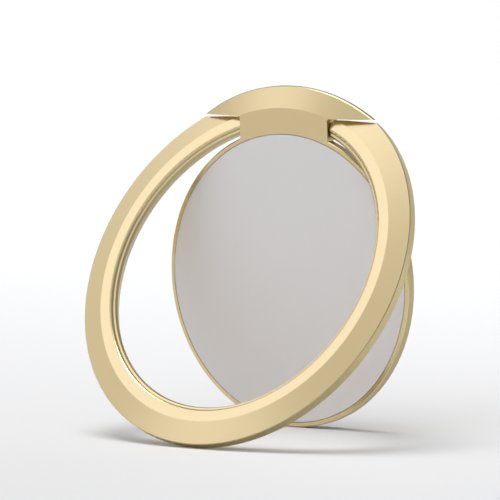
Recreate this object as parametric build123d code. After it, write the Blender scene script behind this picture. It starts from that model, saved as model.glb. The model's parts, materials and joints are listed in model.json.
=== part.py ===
from build123d import *
import math
import os

# Phone ring holder. A gold rim with a neck and a crescent cap turns round a grey plate that is stuck to the
# phone, and a gold C-shaped ring folds out on two pins in the sides of the neck.
# The origin is the middle of the adhesive pad's back face. +Y points into the phone, +Z towards the hinge.
# "Depth" below is measured backwards from the front face of the plate and rim.

# Finger ring, from its outside inwards
ring_radius = 20.45         # outside of the ring and of the cap: together they close one circle
slope_width = 2.4           # wide outer slope
land_width = 1.27           # flat face, from the ridge to the finger hole
wall_lean = 0.18            # how far the wall of the finger hole leans in below that
step_width = 0.2            # narrow step in that wall
lip_lean = 0.17             # how far the wall leans in below the step
bore_relief = 0.5           # how far it falls away again towards the back
land_depth = 0.38
wall_drop = 0.3             # from the flat face down to the step
step_drop = 0.04
lip_drop = 0.22             # from the step down to the narrowest place
slope_drop = 0.48           # fall of the wide slope
ring_thickness = 1.57       # from the flat face to the back
ring_back_chamfer = 0.15
ring_edge_chamfer = 0.07
ridge_round = 0.3
land_round = 0.28

# Hinge
rim_gap = 0.33              # between the finger hole and the rim when folded
hinge_over_rim = 0.3        # the hinge axis lies this far above the top of the rim
hinge_depth = 0.88
pin_radius = 0.3
pin_in_neck = 3.0           # length of each pin pressed into the neck
pin_in_ring = 2.2           # length of each pin inside the ring
pin_end_chamfer = 0.08
pin_clearance = 0.03        # radial, pin in the ring
pin_end_room = 0.25
neck_gap = 0.12             # between the side of the neck and the end of the ring
end_top = 0.7               # how far the ring's ends rise above the hinge axis
end_front_room = 0.15       # between the turning ends and the cap
end_corner_round = 0.5      # corner of each end next to the neck

# Rim, neck and cap
rim_face = 0.5              # width of the rim's face round the plate
rim_depth = 0.95
rim_chamfer = 0.12
rim_inner_chamfer = 0.03
flange_width = 1.5          # the flange behind the rim reaches in to the hub
flange_thickness = 0.4
neck_half_width = 5.82
cap_gap = 0.25              # between the ring's ends and the cap's wings when folded
cap_slope_width = 2.27
cap_slope_drop = 0.95
cap_wall = 0.5              # height of the cap's outer wall
cap_back_chamfer = 0.3
cap_edge_chamfer = 0.07
neck_corner_round = 0.25
neck_foot_room = 0.05       # the thick part of the neck starts this far outside the rim

# Plate, washer, base and pad
seam = 0.05                 # gap between the plate and the rim
plate_edge_chamfer = 0.03
plate_room = 0.05           # play of the flange behind the plate
hub_clearance = 0.05        # radial, hub in the flange
washer_room = 0.02          # play of the flange on the washer
washer_thickness = 0.1
washer_margin = 0.15        # washer stays this far inside the base plate
base_inset = 0.7            # base plate inside the rim
base_thickness = 0.43
base_chamfer = 0.1
pad_inset = 0.4             # pad inside the base plate
pad_thickness = 0.6

# Radii that follow
ridge_radius = ring_radius - slope_width
land_radius = ridge_radius - land_width
step_radius = land_radius - wall_lean
ring_bore = step_radius - step_width - lip_lean
ring_bore_back = ring_bore + bore_relief
rim_radius = ring_bore - rim_gap
rim_opening = rim_radius - rim_face
flange_bore = rim_opening - flange_width
hub_radius = flange_bore - hub_clearance
base_radius = rim_radius - base_inset
pad_radius = base_radius - pad_inset
cap_flat_radius = ring_radius - cap_slope_width

# Depths that follow
step_depth = land_depth + wall_drop
lip_depth = step_depth + step_drop
bore_depth = lip_depth + lip_drop
ring_edge_depth = land_depth + slope_drop
ring_back_depth = land_depth + ring_thickness
flange_front_depth = rim_depth - flange_thickness
plate_depth = flange_front_depth - plate_room
base_front_depth = rim_depth + washer_room + washer_thickness
pad_front_depth = base_front_depth + base_thickness
total_depth = pad_front_depth + pad_thickness
cap_back_depth = cap_slope_drop + cap_wall + cap_back_chamfer

# Places that follow
hinge_height = rim_radius + hinge_over_rim
hinge_y = hinge_depth - total_depth
ring_end_x = neck_half_width + neck_gap
cap_chord = hinge_height + end_top + cap_gap
end_front_round = end_top + cap_gap - end_front_room
end_back_round = ring_back_depth - hinge_depth
wing_reach = 2 * ring_radius

# The holder stands on the bottom of the rim and the bottom of the ring, so the ring is opened until both
# are at one height. reach and drop are the ring's lowest edge as seen from the hinge axis.
foot_reach = hinge_height + ring_radius
foot_drop = ring_back_depth - ring_back_chamfer - hinge_depth
foot_level = hinge_height + rim_radius
stand_angle = math.degrees(
    math.atan2(foot_drop, foot_reach) + math.acos(foot_level / math.hypot(foot_reach, foot_drop))
)

axis_of_plate = Axis((0, 0, 0), (0, 1, 0))
hinge_axis = Axis((0, hinge_y, hinge_height), (-1, 0, 0))
# Profiles are drawn with radius across and depth downwards, from the front face of the plate.
profile_plane = Plane(origin=(0, -total_depth, 0), x_dir=(1, 0, 0), z_dir=(0, 0, -1))
# Outlines are drawn as seen from the front.
outline_plane = Plane(origin=(0, 0, 0), x_dir=(1, 0, 0), z_dir=(0, -1, 0))


def at_corner(face, point):
    # The corner of a flat face nearest to a point.
    return face.vertices().sort_by_distance((point[0], point[1], 0))[0]


def turned(points, rounds=(), chamfers=()):
    # Solid of revolution about the axis of the plate, from points of radius and depth.
    drawn = [(radius, -depth) for radius, depth in points]
    face = make_face(Polyline(*drawn, close=True))
    for (radius, depth), size in rounds:
        face = fillet(at_corner(face, (radius, -depth)), size)
    for (radius, depth), size in chamfers:
        face = chamfer(at_corner(face, (radius, -depth)), size)
    return revolve(profile_plane * face, axis_of_plate, 360)


def along_hinge(radius, start, end):
    # Round bar on the hinge axis between two places across the holder.
    middle = (start + end) / 2
    return Pos(middle, hinge_y, hinge_height) * Rot(0, 90, 0) * Cylinder(radius, abs(end - start))


def block(x_size, y_range, z_range):
    # Box centred across the holder.
    y_size = y_range[1] - y_range[0]
    z_size = z_range[1] - z_range[0]
    return Pos(0, (y_range[0] + y_range[1]) / 2, (z_range[0] + z_range[1]) / 2) * Box(x_size, y_size, z_size)


def ring_end_shape():
    # Everything the ring may fill: all below the hinge axis, and rounded ends above it.
    y_front = hinge_y - wing_reach
    y_back = hinge_y + wing_reach
    below = block(3 * wing_reach, (y_front, y_back), (hinge_height - 3 * wing_reach, hinge_height))
    front = along_hinge(end_front_round, -wing_reach, wing_reach)
    front &= block(3 * wing_reach, (y_front, hinge_y), (hinge_height, hinge_height + end_top))
    back = along_hinge(end_back_round, -wing_reach, wing_reach)
    back &= block(3 * wing_reach, (hinge_y, y_back), (hinge_height, hinge_height + end_top))
    return below + front + back


def make_finger_ring():
    section = [
        (land_radius, land_depth),
        (ridge_radius, land_depth),
        (ring_radius, ring_edge_depth),
        (ring_radius, ring_back_depth),
        (ring_bore_back, ring_back_depth),
        (ring_bore, bore_depth),
        (ring_bore + lip_lean, lip_depth),
        (step_radius, step_depth),
    ]
    ring = turned(
        section,
        [((land_radius, land_depth), land_round), ((ridge_radius, land_depth), ridge_round)],
        [((ring_radius, ring_edge_depth), ring_edge_chamfer), ((ring_radius, ring_back_depth), ring_back_chamfer)],
    )
    # The space for the neck, with the corners beside it rounded.
    top = hinge_height + end_top
    slot = make_face(
        Polyline(
            (-ring_end_x, 0), (ring_end_x, 0), (ring_end_x, top), (wing_reach, top), (wing_reach, 2 * top),
            (-wing_reach, 2 * top), (-wing_reach, top), (-ring_end_x, top), close=True,
        )
    )
    for side in (-1, 1):
        slot = fillet(at_corner(slot, (side * ring_end_x, top)), end_corner_round)
    ring -= extrude(outline_plane * slot, wing_reach, both=True)
    ring &= ring_end_shape()
    for side in (-1, 1):
        bore_end = side * (ring_end_x + pin_in_ring + pin_end_room)
        ring -= along_hinge(pin_radius + pin_clearance, side * neck_half_width, bore_end)
    return ring.rotate(hinge_axis, stand_angle)


def make_swivel_frame():
    rim = turned(
        [
            (rim_opening, 0),
            (rim_radius, 0),
            (rim_radius, rim_depth),
            (flange_bore, rim_depth),
            (flange_bore, flange_front_depth),
            (rim_opening, flange_front_depth),
        ],
        chamfers=[((rim_radius, 0), rim_chamfer), ((rim_opening, 0), rim_inner_chamfer)],
    )
    foot = rim_radius + neck_foot_room
    whole = turned(
        [
            (rim_opening + rim_inner_chamfer, 0),
            (cap_flat_radius, 0),
            (ring_radius, cap_slope_drop),
            (ring_radius, cap_back_depth),
            (foot, cap_back_depth),
            (foot, rim_depth),
            (rim_opening + rim_inner_chamfer, rim_depth),
        ],
        chamfers=[
            ((ring_radius, cap_slope_drop), cap_edge_chamfer),
            ((ring_radius, cap_back_depth), cap_back_chamfer),
        ],
    )
    # The neck and the wings, as seen from the front.
    side = neck_half_width
    tee = make_face(
        Polyline(
            (-side, 0), (side, 0), (side, cap_chord), (wing_reach, cap_chord), (wing_reach, wing_reach),
            (-wing_reach, wing_reach), (-wing_reach, cap_chord), (-side, cap_chord), close=True,
        )
    )
    for hand in (-1, 1):
        tee = fillet(at_corner(tee, (hand * side, cap_chord)), neck_corner_round)
    frame = rim + (whole & extrude(outline_plane * tee, wing_reach, both=True))
    for hand in (-1, 1):
        frame -= along_hinge(pin_radius, hand * (neck_half_width - pin_in_neck), hand * wing_reach)
    return frame


def make_hinge_pin(hand):
    start = neck_half_width - pin_in_neck
    end = ring_end_x + pin_in_ring
    pin = along_hinge(pin_radius, hand * start, hand * end)
    return chamfer(pin.edges().filter_by(GeomType.CIRCLE), pin_end_chamfer)


def make_face_plate():
    radius = rim_opening - seam
    return turned(
        [
            (0, 0),
            (radius, 0),
            (radius, plate_depth),
            (hub_radius, plate_depth),
            (hub_radius, base_front_depth),
            (0, base_front_depth),
        ],
        chamfers=[((radius, 0), plate_edge_chamfer)],
    )


def make_slip_washer():
    front = base_front_depth - washer_thickness
    outer = base_radius - washer_margin
    return turned(
        [(flange_bore, front), (outer, front), (outer, base_front_depth), (flange_bore, base_front_depth)]
    )


def make_base_plate():
    return turned(
        [
            (0, base_front_depth),
            (base_radius, base_front_depth),
            (base_radius, pad_front_depth),
            (0, pad_front_depth),
        ],
        chamfers=[((base_radius, pad_front_depth), base_chamfer)],
    )


def make_adhesive_pad():
    return turned([(0, pad_front_depth), (pad_radius, pad_front_depth), (pad_radius, total_depth), (0, total_depth)])


pieces = {
    "finger_ring": make_finger_ring(),
    "swivel_frame": make_swivel_frame(),
    "hinge_pin_left": make_hinge_pin(-1),
    "hinge_pin_right": make_hinge_pin(1),
    "face_plate": make_face_plate(),
    "slip_washer": make_slip_washer(),
    "base_plate": make_base_plate(),
    "adhesive_pad": make_adhesive_pad(),
}

os.makedirs("parts", exist_ok=True)
for name, piece in pieces.items():
    export_step(piece, f"parts/{name}.step")
print(f"ring opened {stand_angle:.3f} degrees, total depth {total_depth:.3f} mm, hinge y {hinge_y:.3f} mm")
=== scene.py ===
import json
import math

import bpy
from mathutils import Matrix, Vector


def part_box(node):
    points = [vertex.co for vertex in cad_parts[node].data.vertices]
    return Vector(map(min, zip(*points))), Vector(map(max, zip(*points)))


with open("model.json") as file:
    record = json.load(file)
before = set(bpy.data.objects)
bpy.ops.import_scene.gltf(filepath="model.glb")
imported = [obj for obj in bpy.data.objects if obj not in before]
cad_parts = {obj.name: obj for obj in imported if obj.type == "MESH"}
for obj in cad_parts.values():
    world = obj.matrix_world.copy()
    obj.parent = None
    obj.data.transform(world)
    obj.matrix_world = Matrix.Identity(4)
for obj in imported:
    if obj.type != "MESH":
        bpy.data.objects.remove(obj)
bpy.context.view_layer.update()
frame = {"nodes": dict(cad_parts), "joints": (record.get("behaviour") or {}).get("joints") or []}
nodes = frame["nodes"]

MM = 0.001
floor_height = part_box("swivel_frame")[0].z

# Finishes: a fine grain, and a slow drift between two near tones
fine_grain, grain_detail = 14000.0, 3.0
grain_low, grain_high = 0.3, 0.7
grain_depth = 0.02 * MM
drift_scale, drift_detail = 160.0, 2.0


def satin_group():
    """Fine blasted satin: a tone that drifts a little, a roughness that varies, and a very fine grain."""
    group = bpy.data.node_groups.new("satin_metal", "ShaderNodeTree")
    socket = group.interface.new_socket
    for name in ("Grain", "Smooth", "Rough"):
        socket(name, in_out="INPUT", socket_type="NodeSocketFloat")
    for name in ("Pale", "Deep"):
        socket(name, in_out="INPUT", socket_type="NodeSocketColor")
    socket("Tone", in_out="OUTPUT", socket_type="NodeSocketColor")
    for name in ("Roughness", "Grain Height"):
        socket(name, in_out="OUTPUT", socket_type="NodeSocketFloat")
    tree = group.nodes
    wire = group.links.new
    given = tree.new("NodeGroupInput")
    out = tree.new("NodeGroupOutput")
    place = tree.new("ShaderNodeTexCoord")

    fine = tree.new("ShaderNodeTexNoise")
    fine.inputs["Detail"].default_value = grain_detail
    wire(place.outputs["Object"], fine.inputs["Vector"])
    wire(given.outputs["Grain"], fine.inputs["Scale"])
    wire(fine.outputs["Fac"], out.inputs["Grain Height"])

    spread = tree.new("ShaderNodeMapRange")
    spread.inputs["From Min"].default_value = grain_low
    spread.inputs["From Max"].default_value = grain_high
    wire(fine.outputs["Fac"], spread.inputs["Value"])
    wire(given.outputs["Smooth"], spread.inputs["To Min"])
    wire(given.outputs["Rough"], spread.inputs["To Max"])
    wire(spread.outputs["Result"], out.inputs["Roughness"])

    drift = tree.new("ShaderNodeTexNoise")
    drift.inputs["Scale"].default_value = drift_scale
    drift.inputs["Detail"].default_value = drift_detail
    wire(place.outputs["Object"], drift.inputs["Vector"])
    blend = tree.new("ShaderNodeMix")
    blend.data_type = "RGBA"
    wire(drift.outputs["Fac"], blend.inputs["Factor"])
    wire(given.outputs["Pale"], blend.inputs["A"])
    wire(given.outputs["Deep"], blend.inputs["B"])
    wire(blend.outputs["Result"], out.inputs["Tone"])
    return group


SATIN = satin_group()


def satin(name, pale, deep, smooth, rough, bump, grain=fine_grain, metallic=1.0):
    finish = bpy.data.materials.new(name)
    finish.use_nodes = True
    tree = finish.node_tree.nodes
    wire = finish.node_tree.links.new
    skin = tree["Principled BSDF"]
    skin.inputs["Metallic"].default_value = metallic
    surface = tree.new("ShaderNodeGroup")
    surface.node_tree = SATIN
    surface.inputs["Grain"].default_value = grain
    surface.inputs["Smooth"].default_value = smooth
    surface.inputs["Rough"].default_value = rough
    surface.inputs["Pale"].default_value = (*pale, 1)
    surface.inputs["Deep"].default_value = (*deep, 1)
    wire(surface.outputs["Tone"], skin.inputs["Base Color"])
    wire(surface.outputs["Roughness"], skin.inputs["Roughness"])
    relief = tree.new("ShaderNodeBump")
    relief.inputs["Strength"].default_value = bump
    relief.inputs["Distance"].default_value = grain_depth
    wire(surface.outputs["Grain Height"], relief.inputs["Height"])
    wire(relief.outputs["Normal"], skin.inputs["Normal"])
    return finish


def dress(node, finish):
    data = nodes[node].data
    data.materials.clear()
    data.materials.append(finish)


def dress_where(node, finish, chosen):
    """The faces that chosen(normal, centre) picks get a material of their own; here a darker copy of the
    gold, painted shade.
    """
    data = nodes[node].data
    data.materials.append(finish)
    for face in data.polygons:
        if chosen(face.normal, face.center):
            face.material_index = len(data.materials) - 1


# In the photograph's pose the ring stands open from flat, which is the hinge's lower limit.
ring_hinge = next(joint for joint in frame["joints"] if joint["name"] == "ring_hinge")
ring_open = math.radians(-ring_hinge["range_deg"][0])
hinge = Vector(ring_hinge["pos_m"])
opened = Matrix.Rotation(-ring_open, 3, "X")
frame_front = Vector((0, -1, 0))
ring_front = opened @ frame_front
ring_up = opened @ Vector((0, 0, 1))
ring_middle = hinge + opened @ -hinge

# A wall is a face turned this far from the front; walls get a darker copy of the gold, painted shade.
wall_from, wall_to = math.radians(48), math.radians(150)
outside_facing, end_facing = 0.9, 0.99


def frame_wall(normal, centre):
    return wall_from < normal.angle(frame_front) < wall_to


def ring_end(normal, centre):
    return normal.dot(ring_up) > end_facing and ring_up.dot(centre - ring_middle) > 0


def ring_wall(normal, centre):
    turned_aside = wall_from < normal.angle(ring_front) < wall_to
    return turned_aside and not ring_end(normal, centre)


# Outer walls of the ring, which get a mid-dark copy of the gold: painted shade.
def ring_outside(normal, centre):
    spoke = centre - ring_middle
    spoke -= spoke.dot(ring_front) * ring_front
    return ring_wall(normal, centre) and normal.dot(spoke.normalized()) > outside_facing


gold = satin("satin_gold", (0.76, 0.61, 0.34), (0.745, 0.595, 0.33), 0.22, 0.25, 0.015)
# Darker gold for faces turned aside: painted shade on the walls, not a finish of the metal.
painted_shade_wall_gold = satin("painted_shade_wall_gold", (0.5, 0.42, 0.23), (0.47, 0.39, 0.21), 0.3, 0.36, 0.02)
# Mid-dark gold for the ring's outer wall: painted shade for its dark outline.
painted_shade_edge_gold = satin("painted_shade_edge_gold", (0.6, 0.5, 0.275), (0.58, 0.48, 0.26), 0.26, 0.3, 0.02)
plate_grey = satin("plate_grey", (0.79, 0.765, 0.755), (0.77, 0.745, 0.735), 0.44, 0.5, 0.015, metallic=0.3)
pin_steel = satin("pin_steel", (0.45, 0.42, 0.36), (0.42, 0.39, 0.33), 0.22, 0.3, 0.02, grain=9000.0)
base_steel = satin("base_steel", (0.6, 0.6, 0.61), (0.54, 0.54, 0.55), 0.3, 0.42, 0.1, grain=3500.0)
nylon = satin(
    "washer_nylon", (0.86, 0.86, 0.83), (0.82, 0.82, 0.78), 0.45, 0.55, 0.05, grain=4000.0, metallic=0.0
)
foam = satin(
    "pad_foam", (0.11, 0.11, 0.115), (0.075, 0.075, 0.08), 0.75, 0.95, 0.5, grain=2600.0, metallic=0.0
)

dress("finger_ring", gold)
# The ring's walls get the darker gold: painted shade.
dress_where("finger_ring", painted_shade_wall_gold, ring_wall)
# The ring's outer wall gets the mid-dark gold: painted shade.
dress_where("finger_ring", painted_shade_edge_gold, ring_outside)
dress("swivel_frame", gold)
# The frame's walls and edge chamfers get the darker gold: painted shade.
dress_where("swivel_frame", painted_shade_wall_gold, frame_wall)
dress("face_plate", plate_grey)
dress("hinge_pin_left", pin_steel)
dress("hinge_pin_right", pin_steel)
dress("base_plate", base_steel)
dress("slip_washer", nylon)
dress("adhesive_pad", foam)

# The floor's colour is palest behind the holder and darkens towards the camera: painted shade standing in
# for light that falls off towards the front.
floor_size = 6.0
floor_pale, floor_dark = 0.89, 0.68
floor_pale_at, floor_dark_at = 110 * MM, -90 * MM
floor_rough = 0.9


def lay_floor():
    bpy.ops.object.select_all(action="DESELECT")
    bpy.ops.mesh.primitive_plane_add(size=floor_size, location=(0, 0, floor_height))
    floor = bpy.context.object
    floor.name = "pale_floor"
    finish = bpy.data.materials.new("floor_white")
    finish.use_nodes = True
    tree = finish.node_tree.nodes
    wire = finish.node_tree.links.new
    skin = tree["Principled BSDF"]
    place = tree.new("ShaderNodeTexCoord")
    axes = tree.new("ShaderNodeSeparateXYZ")
    wire(place.outputs["Object"], axes.inputs["Vector"])
    # Floor colour darkening towards the camera: painted shade.
    shade = tree.new("ShaderNodeMapRange")
    shade.inputs["From Min"].default_value = floor_dark_at
    shade.inputs["From Max"].default_value = floor_pale_at
    shade.inputs["To Min"].default_value = floor_dark
    shade.inputs["To Max"].default_value = floor_pale
    wire(axes.outputs["Y"], shade.inputs["Value"])
    wire(shade.outputs["Result"], skin.inputs["Base Color"])
    skin.inputs["Roughness"].default_value = floor_rough
    skin.inputs["Specular IOR Level"].default_value = 0.0
    floor.data.materials.append(finish)


lay_floor()


def toward(turn, rise):
    """The direction that is turned to the left of the front and raised, both in degrees."""
    turn, rise = math.radians(turn), math.radians(rise)
    level = math.cos(rise)
    return Vector((-math.sin(turn) * level, -math.cos(turn) * level, math.sin(rise)))


room_level = 0.16
neutral, cool, cooler = (1.0, 1.0, 1.0), (0.95, 1.0, 1.2), (0.95, 1.01, 1.3)
# Soft boxes round the holder: where each stands, as turn and rise, the half angles of its full middle
# and of its outer edge, all in degrees, how bright it is, and its tint.
soft_boxes = {
    "front_fill": ((42.0, 20.0), 45.0, 78.0, 0.56, neutral),
    "key": ((58.0, 44.0), 8.0, 24.0, 0.68, cooler),
    "low_side": ((38.0, 18.0), 6.0, 15.0, 0.42, cool),
    "right_fill": ((-70.0, 30.0), 28.0, 62.0, 0.36, neutral),
    "overhead": ((110.0, 79.0), 11.0, 20.0, 7.5, neutral),
    "backdrop": ((190.0, 0.0), 30.0, 55.0, 0.6, neutral),
}


def light_the_studio():
    world = bpy.data.worlds.new("studio")
    bpy.context.scene.world = world
    world.use_nodes = True
    tree = world.node_tree.nodes
    wire = world.node_tree.links.new
    place = tree.new("ShaderNodeTexCoord")
    total = None
    for name, (stand, full, edge, level, tint) in soft_boxes.items():
        facing = tree.new("ShaderNodeVectorMath")
        facing.label = name
        facing.operation = "DOT_PRODUCT"
        facing.inputs[1].default_value = toward(*stand)
        wire(place.outputs["Generated"], facing.inputs[0])
        fade = tree.new("ShaderNodeMapRange")
        fade.interpolation_type = "SMOOTHSTEP"
        fade.inputs["From Min"].default_value = math.cos(math.radians(edge))
        fade.inputs["From Max"].default_value = math.cos(math.radians(full))
        wire(facing.outputs["Value"], fade.inputs["Value"])
        glow = tree.new("ShaderNodeVectorMath")
        glow.operation = "MULTIPLY_ADD"
        glow.inputs[1].default_value = Vector(tint) * level
        wire(fade.outputs["Result"], glow.inputs[0])
        if total is None:
            glow.inputs[2].default_value = (room_level, room_level, room_level)
        else:
            wire(total, glow.inputs[2])
        total = glow.outputs["Vector"]
    wire(total, tree["Background"].inputs["Color"])


light_the_studio()

# The photograph's view: turn to the right of the front, rise and roll in degrees
view_turn, view_rise, view_roll = 38.07, 6.28, -1.83
view_lens = 464.5
view_distance = 683.3 * MM
view_middle = Vector((-2.633, -5.119, 3.271)) * MM
view_reach = 20.0


def set_camera():
    lens = bpy.data.cameras.new("photo_view")
    lens.lens = view_lens
    lens.clip_end = view_reach
    camera = bpy.data.objects.new("photo_view", lens)
    bpy.context.scene.collection.objects.link(camera)
    camera.location = view_middle + toward(-view_turn, view_rise) * view_distance
    turned = Matrix.Rotation(math.radians(view_turn), 3, "Z")
    raised = Matrix.Rotation(math.radians(90 - view_rise), 3, "X")
    rolled = Matrix.Rotation(math.radians(view_roll), 3, "Z")
    camera.rotation_euler = (turned @ raised @ rolled).to_euler()
    bpy.context.scene.camera = camera


set_camera()
bpy.context.scene.view_settings.view_transform = "Standard"
